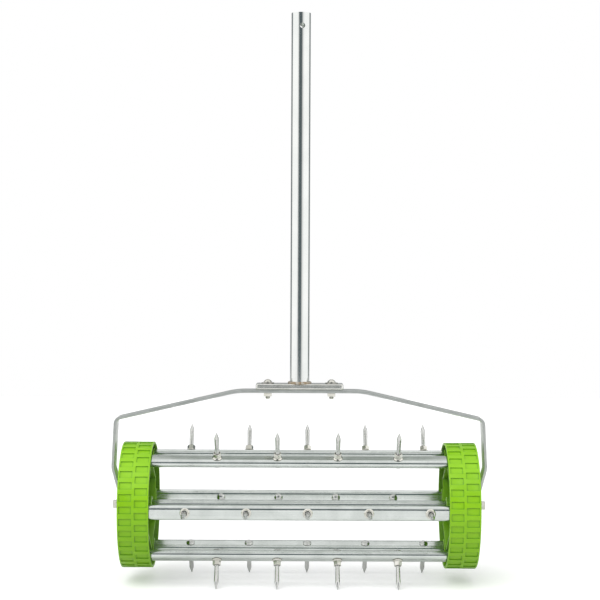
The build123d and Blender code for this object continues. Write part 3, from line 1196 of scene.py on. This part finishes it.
@dataclass
class Wheels:
    """The two moulded wheels, cups that open towards the middle of the drum."""

    shop: Workshop
    segments: int = 264
    rim_wall: float = 3.0 * MM
    rim_edge: float = 0.8 * MM
    web: float = 3.5 * MM
    web_recess: float = 3.0 * MM
    cup_depth_start: float = 3.0 * MM
    hub_radius: float = 10.5 * MM
    bore: float = 6.05 * MM
    bore_edge: float = 0.5 * MM
    inside_corner: float = 1.6 * MM
    outside_corner: float = 0.5 * MM
    collar_wall: float = 2.0 * MM
    collar_root: float = 8.0 * MM
    hole_clearance: float = 0.05 * MM
    cup_rib_apothem: float = 49.0 * MM
    cup_rib: float = 2.0 * MM
    face_rib: float = 2.4 * MM
    face_rib_drop: float = 0.8 * MM
    pockets: int = 33
    pocket_share: float = 0.6
    pocket_depth: float = 1.1 * MM
    pocket_slope: float = 0.12 * MM
    edge_band: float = 2.0 * MM
    middle_ring: float = 3.6 * MM
    edge_bevel: float = 0.28 * MM

    def __post_init__(self) -> None:
        """Read the wheel's and the rails' sizes from the frame."""
        low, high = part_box("wheel_right")
        rail_low, rail_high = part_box("rail_1")
        self.inner_x, self.outer_x = low.x, high.x
        self.radius = (high.y - low.y) / 2
        self.rail_centre = -(rail_low.y + rail_high.y) / 2
        self.rail_thickness = rail_high.y - rail_low.y
        self.rail_width = rail_high.z - rail_low.z
        self.cup_x = self.inner_x + self.cup_depth_start
        self.web_outer_x = self.outer_x - self.web_recess
        self.web_inner_x = self.web_outer_x - self.web
        self.bury = 1.2 * MM

    def body(self) -> Solid:
        """Rim, web and hub, turned about Z with its inner end down.

        Returns:
            The body.
        """
        rim, edge = self.radius - self.rim_wall, self.rim_edge
        corner, fold = self.outside_corner, self.inside_corner
        outline = [
            ((rim, self.inner_x), corner),
            ((self.radius, self.inner_x), edge),
            ((self.radius, self.outer_x), edge),
            ((rim, self.outer_x), corner),
            ((rim, self.web_outer_x), fold / 2),
            ((self.hub_radius, self.web_outer_x), fold / 2),
            ((self.hub_radius, self.outer_x), corner),
            ((self.bore, self.outer_x), self.bore_edge),
            ((self.bore, self.cup_x), self.bore_edge),
            ((self.hub_radius, self.cup_x), corner),
            ((self.hub_radius, self.web_inner_x), fold),
            ((rim, self.web_inner_x), fold),
        ]
        points = rounded([point for point, _ in outline], [radius for _, radius in outline])
        return Solid().turned([Ring(r, x) for r, x in points], self.segments, bored=True)

    def oval(self, x: float, offset: float, steps: int = 14) -> list[Vector]:
        """Section of a rail's flat oval on the front of the wheel.

        Args:
            x: where along the axle.
            offset: how much larger than the rail all round.
            steps: spans on each rounded end.

        Returns:
            The section's points, anticlockwise seen from +X.
        """
        half = self.rail_thickness / 2 + offset
        flat = (self.rail_width - self.rail_thickness) / 2
        points = []
        for end in (1, -1):
            for step in range(steps + 1):
                angle = pi * step / steps + (0 if end == 1 else pi)
                across, along = half * cos(angle), end * flat + half * sin(angle)
                points.append(Vector((x, across - self.rail_centre, along)))
        return points

    def block(self, x: Point2, y: Point2, z: Point2, edge: float) -> Solid:
        """Block with the corners of its low-X face drawn in.

        Args:
            x: its span along the axle.
            y: its span from front to back.
            z: its height span.
            edge: width of the softened edge.

        Returns:
            The block.
        """
        sections = []
        for place, inset in ((x[0], edge), (x[0] + edge, 0.0), (x[1], 0.0)):
            (y0, y1), (z0, z1) = (y[0] + inset, y[1] - inset), (z[0] + inset, z[1] - inset)
            sections.append([Vector((place, *p)) for p in ((y0, z0), (y1, z0), (y1, z1), (y0, z1))])
        return Solid().lofted(sections)

    def collar(self) -> Solid:
        """Collar round one rail end.

        Returns:
            The collar, on the front of the wheel.
        """
        offset = self.hole_clearance + self.collar_wall
        end = self.web_inner_x + self.bury
        soft = 0.5 * MM
        return Solid().lofted([
            self.oval(self.cup_x, offset - soft),
            self.oval(self.cup_x + soft, offset),
            self.oval(end, offset)])

    def root(self) -> Solid:
        """Web between a collar and the rim.

        Returns:
            The root.
        """
        half = self.collar_root / 2
        return self.block(
            (self.cup_x + 0.4 * MM, self.web_inner_x + self.bury),
            (-(self.radius - self.rim_wall / 2), -self.rail_centre - self.rail_thickness / 2 - 0.7 * MM),
            (-half, half), 0.4 * MM)

    def cup_rib_part(self) -> Solid:
        """Straight rib inside the cup, across the face of one rail.

        Returns:
            The rib.
        """
        half = self.cup_rib_apothem / 3 ** 0.5 + 0.3 * MM
        return self.block(
            (self.cup_x, self.web_inner_x + self.bury),
            (-self.cup_rib_apothem - self.cup_rib / 2, -self.cup_rib_apothem + self.cup_rib / 2),
            (-half, half), 0.35 * MM)

    def face_rib_part(self) -> Solid:
        """Radial rib in the recess of the outer face, drawn in at its visible side.

        Returns:
            The rib, a little longer than what shows.
        """
        half = self.face_rib / 2
        rib = self.block(
            (-(self.outer_x - self.face_rib_drop), -(self.web_outer_x - self.bury)),
            (-(self.radius - self.rim_wall / 2), -(self.hub_radius - self.bury)),
            (-half, half), 0.35 * MM)
        rib.points = [Vector((-point.x, point.y, point.z)) for point in rib.points]
        rib.faces = [tuple(reversed(face)) for face in rib.faces]
        return rib

    def rail_hole(self) -> Solid:
        """Cutter for one rail's hole, with a lead-in at the collar's mouth.

        Returns:
            The cutter.
        """
        lead, mouth = 0.5 * MM, self.cup_x
        return Solid().lofted([
            self.oval(mouth - 2 * MM, self.hole_clearance + lead),
            self.oval(mouth, self.hole_clearance + lead),
            self.oval(mouth + lead, self.hole_clearance),
            self.oval(self.web_inner_x, self.hole_clearance)])

    def pocket(self, x0: float, x1: float, steps: int = 6) -> Solid:
        """Cutter for one tread pocket, with sloping walls and a floor that follows the tread.

        Args:
            x0: the pocket's inner end.
            x1: its outer end.
            steps: spans round the pocket.

        Returns:
            The cutter, centred on the front of the wheel.
        """
        half = pi / self.pockets * self.pocket_share
        sections = []
        for step in range(steps + 1):
            share = 2 * step / steps - 1
            section = []
            for reach, inset in (
                (self.radius - self.pocket_depth, self.pocket_slope),
                (self.radius + 0.05 * MM, 0.0),
                (self.radius + 1.5 * MM, 0.0),
            ):
                angle = share * (half - inset / self.radius)
                section.append((reach, angle, inset))
            ring = [(x0 + inset, reach, angle) for reach, angle, inset in section]
            ring += [(x1 - inset, reach, angle) for reach, angle, inset in reversed(section)]
            sections.append([
                Vector((x, -reach * cos(angle), reach * sin(angle))) for x, reach, angle in ring])
        return Solid().lofted(sections)

    def build(self) -> None:
        """Make the right wheel and its mirror image."""
        plastic = self.shop.finish(GREEN_PLASTIC)
        middle = (self.inner_x + self.outer_x) / 2
        inner_row = (self.inner_x + self.edge_band, middle - self.middle_ring / 2)
        outer_row = (middle + self.middle_ring / 2, self.outer_x - self.edge_band)
        parts = {
            "Body": self.body().part("wheel_body", Matrix.Rotation(pi / 2, 4, "Y")),
            "Collar": self.collar().part("collar"),
            "Root": self.root().part("collar_root"),
            "Cup rib": self.cup_rib_part().part("cup_rib"),
            "Face rib": self.face_rib_part().part("face_rib"),
            "Rail hole": self.rail_hole().part("rail_hole"),
            "Inner pocket": self.pocket(*inner_row).part("inner_pocket"),
            "Outer pocket": self.pocket(*outer_row).part("outer_pocket"),
        }
        mesh = self.shop.wheels.mesh("wheel_moulding_right", {
            **parts, "Rails": RAIL_COUNT, "Pockets": self.pockets, "Phase": pi / 2,
            "Height": self.shop.axle_height, "Finish": plastic})
        remove_parts(*parts.values())
        mesh = self.softened(mesh)
        other = mirrored(mesh, "wheel_moulding_left")
        self.shop.piece("wheel_moulding_right", mesh, Body.DRUM, Slot.PLASTIC, plastic, "wheel_right")
        self.shop.piece("wheel_moulding_left", other, Body.DRUM, Slot.PLASTIC, plastic, "wheel_left")

    def softened(self, mesh: bpy.types.Mesh) -> bpy.types.Mesh:
        """Round the moulding's remaining sharp edges a little.

        Args:
            mesh: the moulding.

        Returns:
            A mesh with rounded edges.
        """
        holder = bpy.data.objects.new("wheel_holder", mesh)
        bpy.context.scene.collection.objects.link(holder)
        bevel = holder.modifiers.new("edges", "BEVEL")
        bevel.width = self.edge_bevel
        bevel.segments = 2
        bevel.limit_method = "ANGLE"
        bevel.angle_limit = radians(40)
        graph = bpy.context.evaluated_depsgraph_get()
        made = bpy.data.meshes.new_from_object(holder.evaluated_get(graph), depsgraph=graph)
        bpy.data.objects.remove(holder)
        made.name = mesh.name
        return made


@dataclass
class AxleEnds:
    """Bolt, washer and hub washer at each end of the axle."""

    shop: Workshop
    bolt_flats: float = 10.0 * MM
    bolt_thread: float = 2.75 * MM
    thread_depth: float = 0.25 * MM
    thread_pitch: float = 1.0 * MM
    bolt_shank: float = 3.0 * MM
    bolt_reach: float = 18.0 * MM
    washer_hole: float = 3.2 * MM
    washer_thickness: float = 1.5 * MM
    hub_washer_hole: float = 6.1 * MM
    hub_gap: float = 0.3 * MM
    head_dish: float = 0.5 * MM

    def bolt(self, seat: float, head_end: float, shank_end: float) -> Solid:
        """Make the axle bolt along Z: thread, hexagon head and a dished end face.

        Args:
            seat: height of the head's underside.
            head_end: height of the head's end face.
            shank_end: height of the thread's end.

        Returns:
            The bolt.
        """
        rings = threaded(
            self.bolt_thread, self.thread_depth, self.thread_pitch, shank_end, seat - 0.5 * MM)
        rings += [Ring(self.bolt_shank, seat - 0.4 * MM), Ring(self.bolt_shank, seat)]
        rings += [Ring(self.bolt_flats / 2 - 0.1 * MM, seat), Ring(self.bolt_flats / 2, seat + 0.25 * MM)]
        rings += hexagon(self.bolt_flats, seat + 0.3 * MM, head_end, False, True)
        rings += [
            Ring(3.6 * MM, head_end),
            Ring(3.1 * MM, head_end - self.head_dish),
            Ring(1.0 * MM, head_end - self.head_dish),
        ]
        return Solid().turned(rings, 48)

    def build(self) -> None:
        """Make both ends' pieces."""
        zinc = self.shop.finish(NUT_ZINC)
        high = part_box("axle_bolts")[1].x
        yoke_low, yoke_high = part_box("axle_washers")
        hub_low, hub_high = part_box("hub_washers")
        wheel_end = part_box("wheel_right")[1].x
        bolt_end = hub_high.x - self.bolt_reach
        shapes = {
            "axle_bolt_pair": ("axle_bolts", self.bolt(yoke_high.x, high, bolt_end)),
            "axle_washer_pair": ("axle_washers", Solid().turned(washer_rings(
                (yoke_high.z - yoke_low.z) / 2, self.washer_hole,
                yoke_high.x - self.washer_thickness, yoke_high.x), bored=True)),
            "hub_washer_pair": ("hub_washers", Solid().turned(washer_rings(
                (hub_high.z - hub_low.z) / 2, self.hub_washer_hole,
                wheel_end + self.hub_gap, hub_high.x), bored=True)),
        }
        for name, (node, solid) in shapes.items():
            place = Matrix.Translation((0, 0, self.shop.axle_height))
            pair = Solid()
            for side in (1, -1):
                turn = Matrix.Rotation(pi / 2 * side, 4, "Y")
                pair.add([place @ turn @ point for point in solid.points], solid.faces)
            self.shop.piece(name, pair.mesh(name), Body.YOKE, Slot.ZINC, zinc, node)


@dataclass
class HandleFoot:
    """The yoke, the folded foot on it, and the bolts, washers and nuts that hold the foot down."""

    shop: Workshop
    head_height: float = 4.2 * MM
    head_rim: float = 1.0 * MM
    slot_width: float = 1.3 * MM
    slot_length: float = 5.6 * MM
    slot_depth: float = 2.0 * MM
    thread_core: float = 2.68 * MM
    thread_depth: float = 0.3 * MM
    thread_pitch: float = 1.0 * MM
    thread_length: float = 14.0 * MM
    shank: float = 2.95 * MM
    washer_hole: float = 3.2 * MM
    nut_flats: float = 10.0 * MM
    nut_bore: float = 3.0 * MM

    def bolt(self, seat: float, head_radius: float, end: float) -> Solid:
        """Make a foot bolt on the Z axis: chamfered threaded end, shank and domed head.

        Args:
            seat: height of the head's underside.
            head_radius: the head's radius.
            end: height of the threaded end.

        Returns:
            The bolt.
        """
        thread_top = end + self.thread_length
        rings = [Ring(2.1 * MM, end), Ring(2.5 * MM, end + 0.4 * MM)]
        rings += threaded(
            self.thread_core, self.thread_depth, self.thread_pitch, end + 0.5 * MM, thread_top)
        rings += [Ring(self.shank, thread_top + 0.3 * MM), Ring(self.shank, seat)]
        rings += dome(head_radius, seat, self.head_height, self.head_rim)
        return Solid().turned(rings, 48)

    def recess(self, top: float) -> list[Solid]:
        """Cutters for the cross recess, two arms that narrow towards the bottom.

        Args:
            top: height of the head's top.

        Returns:
            The two arms.
        """
        arms = []
        for turn in (pi / 4, 3 * pi / 4):
            spin = Matrix.Rotation(turn, 4, "Z")
            sections = []
            for height, share in ((top - self.slot_depth, 0.35), (top + 0.5 * MM, 1.0)):
                x, y = self.slot_length / 2 * share, self.slot_width / 2 * (0.5 + 0.5 * share)
                corners = ((-x, -y), (x, -y), (x, y), (-x, y))
                sections.append([spin @ Vector((*corner, height)) for corner in corners])
            arms.append(Solid().lofted(sections))
        return arms

    def slotted(self, solid: Solid, cutters: list[Solid]) -> bpy.types.Object:
        """Cut the cross recess in the bolt's head.

        Args:
            solid: the bolt.
            cutters: the recess's arms.

        Returns:
            A working object of the slotted bolt.
        """
        bolt = solid.part("foot_bolt_pattern")
        tools = [cutter.part("recess_arm") for cutter in cutters]
        for tool in tools:
            cut = bolt.modifiers.new("recess", "BOOLEAN")
            cut.operation = "DIFFERENCE"
            cut.solver = "MANIFOLD"
            cut.object = tool
        graph = bpy.context.evaluated_depsgraph_get()
        mesh = bpy.data.meshes.new_from_object(bolt.evaluated_get(graph), depsgraph=graph)
        bolt.modifiers.clear()
        bolt.data = mesh
        remove_parts(*tools)
        return bolt

    def nut(self, low: float, high: float) -> Solid:
        """Make a hexagon nut on the Z axis, its corners turned off below.

        Args:
            low: height of its lower face.
            high: height of its upper face.

        Returns:
            The nut.
        """
        rings = [Ring(self.nut_bore + 0.5 * MM, low)]
        rings += hexagon(self.nut_flats, low, high, True, False)
        rings += [Ring(self.nut_bore, high), Ring(self.nut_bore, low + 0.5 * MM)]
        return Solid().turned(rings, 48, bored=True)

    def build(self) -> None:
        """Dress the yoke and foot, and make the foot's fasteners."""
        self.shop.dress("yoke", Slot.YOKE, self.shop.finish(YOKE_PLATING))
        self.shop.dress("handle_foot", Slot.FOOT, self.shop.finish(FOOT_PLATING))
        zinc = self.shop.finish(NUT_ZINC)
        bolts_low, bolts_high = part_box("foot_bolts")
        washers_low, washers_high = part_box("foot_washers")
        nuts_low, nuts_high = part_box("foot_nuts")
        head_radius = (bolts_high.y - bolts_low.y) / 2
        bolt_x = bolts_high.x - head_radius
        bolt = self.slotted(
            self.bolt(washers_high.z, head_radius, bolts_low.z), self.recess(bolts_high.z))
        washer = Solid().turned(washer_rings(
            (washers_high.y - washers_low.y) / 2, self.washer_hole, washers_low.z, washers_high.z),
            bored=True).part("foot_washer_pattern")
        nut = self.nut(nuts_low.z, nuts_high.z).part("foot_nut_pattern")
        for name, node, part, spin in (
            ("foot_bolt_pair", "foot_bolts", bolt, 0.5),
            ("foot_washer_pair", "foot_washers", washer, 0.0),
            ("foot_nut_pair", "foot_nuts", nut, 0.0),
        ):
            mesh = self.shop.rows.mesh(name, {
                "Part": part, "Count": 2, "Pitch": 2 * bolt_x, "Start": -bolt_x, "Height": 0.0,
                "Tilt": 0.0, "Spin": spin, "Seed": 3, "Finish": zinc})
            self.shop.piece(name, mesh, Body.YOKE, Slot.ZINC, zinc, node)
        remove_parts(bolt, washer, nut)


@dataclass
class HandleTube:
    """The lower handle tube and the weld bead round its foot."""

    shop: Workshop
    bead_thickness: float = 1.75 * MM
    bead_drop: float = 0.9 * MM
    ripples: float = 46.0
    ripple_depth: float = 0.13 * MM

    def build(self) -> None:
        """Dress the tube and make its weld."""
        self.shop.dress("handle_tube", Slot.TUBE, self.shop.finish(BRIGHT_TUBE))
        weld = self.shop.finish(WELD_METAL)
        tube_low, tube_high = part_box("handle_tube")
        foot_top = tube_low.z
        tube_radius = (tube_high.x - tube_low.x) / 2
        mesh = self.shop.beads.mesh("weld_bead", {
            "Radius": tube_radius + self.bead_drop,
            "Thickness": self.bead_thickness,
            "Height": foot_top + self.bead_drop,
            "Ripples": self.ripples,
            "Depth": self.ripple_depth,
            "Seed": 2.5,
            "Finish": weld,
        })
        self.shop.piece("weld_bead", mesh, Body.YOKE, Slot.WELD, weld, "tube_weld")


# ---------------------------------------------------------------- studio


@dataclass(frozen=True)
class Edge:
    """A soft-edged span of angles, in degrees: its two ends and how softly each one fades."""

    low: float
    high: float
    soft_low: float
    soft_high: float


@dataclass
class Surround:
    """White surround for the camera; what lights the metal also has dim zones and bright sides."""

    strength: float = 0.84
    side_boost: float = 0.26
    bright_sides: Edge = Edge(34, 112, 12, 12)
    dim_colour: Colour = (0.12, 0.15, 0.16)
    front_around: Edge = Edge(-26, 17, 5, 10)
    front_height: Edge = Edge(-12, 31, 4, 8)
    far_sides_around: Edge = Edge(116, 150, 6, 8)
    far_sides_height: Edge = Edge(-25, 50, 8, 10)
    far_sides_depth: float = 0.9
    back_around: Edge = Edge(166, 200, 5, 5)
    back_height: Edge = Edge(-25, 40, 8, 10)
    back_depth: float = 0.6

    def span(self, angle: Socket, edge: Edge) -> Socket:
        """Weight of an angle in a span.

        Args:
            angle: the angle, in radians.
            edge: the span.

        Returns:
            1 inside the span, 0 outside it and eased between.
        """
        rise = self.board.ramp(
            angle, (radians(edge.low - edge.soft_low), 0.0), (radians(edge.low + edge.soft_low), 1.0))
        fall = self.board.ramp(
            angle, (radians(edge.high + edge.soft_high), 0.0), (radians(edge.high - edge.soft_high), 1.0))
        return self.board.maths("MULTIPLY", rise, fall)

    def zone(self, around: Socket, height: Socket, edges: tuple[Edge, Edge], depth: float = 1.0) -> Socket:
        """Weight of a direction in a dim zone.

        Args:
            around: the direction's angle round the vertical.
            height: its angle above the level.
            edges: the zone's spans of the two angles.
            depth: how dim the zone is, 0 to 1.

        Returns:
            The weight.
        """
        maths = self.board.maths
        weight = maths("MULTIPLY", self.span(around, edges[0]), self.span(height, edges[1]))
        return maths("MULTIPLY", weight, depth)

    def build(self) -> None:
        """Make the surround the scene's world."""
        world = bpy.data.worlds.new("surround")
        bpy.context.scene.world = world
        world.use_nodes = True
        world.node_tree.nodes.clear()
        self.board = NodeBoard(world.node_tree)
        node, maths = self.board.node, self.board.maths
        direction = node("ShaderNodeNewGeometry").outputs["Position"]
        x, y, z = node("ShaderNodeSeparateXYZ", {"Vector": direction}).outputs
        azimuth = maths("ARCTAN2", x, maths("MULTIPLY", y, -1.0))
        aside = maths("ABSOLUTE", azimuth)
        level = maths("SQRT", maths("ADD", maths("MULTIPLY", x, x), maths("MULTIPLY", y, y)))
        height = maths("ARCTAN2", z, level)
        front = self.zone(azimuth, height, (self.front_around, self.front_height))
        far_sides = (self.far_sides_around, self.far_sides_height)
        sides = self.zone(aside, height, far_sides, self.far_sides_depth)
        back = self.zone(aside, height, (self.back_around, self.back_height), self.back_depth)
        dim = maths("MINIMUM", maths("ADD", front, maths("ADD", sides, back)), 1.0)
        boost = maths("MULTIPLY", self.span(aside, self.bright_sides), self.side_boost)
        white = (1.0, 1.0, 1.0, 1.0)
        pattern = node("ShaderNodeBackground", {
            "Color": self.board.mixed(dim, white, (*self.dim_colour, 1.0)),
            "Strength": maths("ADD", boost, self.strength)})
        plain = node("ShaderNodeBackground", {"Color": white, "Strength": 1.0})
        either = node("ShaderNodeMixShader")
        seen = node("ShaderNodeLightPath").outputs["Is Camera Ray"]
        for socket, source in zip(either.inputs, (seen, pattern.outputs[0], plain.outputs[0])):
            self.board.feed(socket, source)
        node("ShaderNodeOutputWorld", {"Surface": either.outputs[0]})


@dataclass
class Studio:
    """Pale floor, soft key light and the camera, inside the white surround."""

    distance: float = 1.95
    camera_above_axle: float = 0.289
    lens_mm: float = 91.26
    sensor_mm: float = 36.0
    tilt_down: float = radians(0.765)
    roll: float = radians(-0.25)
    floor_size: float = 6.0
    floor_colour: Colour = (0.72, 0.72, 0.72)
    floor_glow: float = 0.32
    sun_strength: float = 1.9
    sun_softness: float = radians(50)
    sun_from: Point2 = (radians(-24), radians(52))

    def camera(self, axle_height: float) -> None:
        """Stand the camera in front of the roller, a little above its drum.

        Args:
            axle_height: height of the axle above the floor.
        """
        data = bpy.data.cameras.new("camera")
        data.sensor_width = self.sensor_mm
        data.lens = self.lens_mm
        data.clip_start = 0.01
        camera = bpy.data.objects.new("camera", data)
        camera.location = (0.0, -self.distance, axle_height + self.camera_above_axle)
        look = Matrix.Rotation(pi / 2 - self.tilt_down, 4, "X") @ Matrix.Rotation(-self.roll, 4, "Z")
        camera.rotation_euler = look.to_euler()
        bpy.context.scene.collection.objects.link(camera)
        bpy.context.scene.camera = camera

    def floor(self) -> None:
        """Lay the floor."""
        half = self.floor_size / 2
        mesh = bpy.data.meshes.new("floor")
        corners = [(-half, -half, 0), (half, -half, 0), (half, half, 0), (-half, half, 0)]
        mesh.from_pydata(corners, [], [(0, 1, 2, 3)])
        floor = bpy.data.objects.new("floor", mesh)
        bpy.context.scene.collection.objects.link(floor)
        finish = FinishNodes("pale_floor")
        finish.link(finish.blend(finish.noise((3.0, 3.0, 3.0)), self.floor_colour,
                                 tuple(0.99 * c for c in self.floor_colour)), "Base Color")
        finish.constant("Roughness", 0.85)
        finish.constant("Emission Color", (1.0, 1.0, 1.0, 1.0))
        seen = finish.node("ShaderNodeLightPath").outputs["Is Camera Ray"]
        finish.link(finish.maths("MULTIPLY", seen, self.floor_glow), "Emission Strength")
        mesh.materials.append(finish.material)

    def key_light(self) -> None:
        """Light everything softly from above the camera's left shoulder."""
        data = bpy.data.lights.new("key_light", "SUN")
        data.energy = self.sun_strength
        data.angle = self.sun_softness
        lamp = bpy.data.objects.new("key_light", data)
        aside, above = self.sun_from
        towards = Vector((sin(aside) * cos(above), -cos(aside) * cos(above), sin(above)))
        lamp.rotation_euler = (-towards).to_track_quat("-Z", "Y").to_euler()
        lamp.visible_glossy = False
        bpy.context.scene.collection.objects.link(lamp)

    def build(self, axle_height: float) -> None:
        """Set up the whole studio.

        Args:
            axle_height: height of the axle above the floor.
        """
        self.camera(axle_height)
        self.floor()
        Surround().build()
        self.key_light()
        bpy.context.scene.view_settings.view_transform = "Standard"
        LOG.info("studio: camera %.2f m in front of the axle", self.distance)


def main() -> None:
    """Build the studio and every sub-assembly."""
    logging.basicConfig(level=logging.INFO, format="%(name)s %(message)s")
    shop = Workshop()
    Studio().build(shop.axle_height)
    for assembly in (
        Rails(shop),
        SpikeRows(shop),
        Wheels(shop),
        AxleEnds(shop),
        HandleFoot(shop),
        HandleTube(shop),
    ):
        assembly.build()


if __name__ == "__main__":
    main()
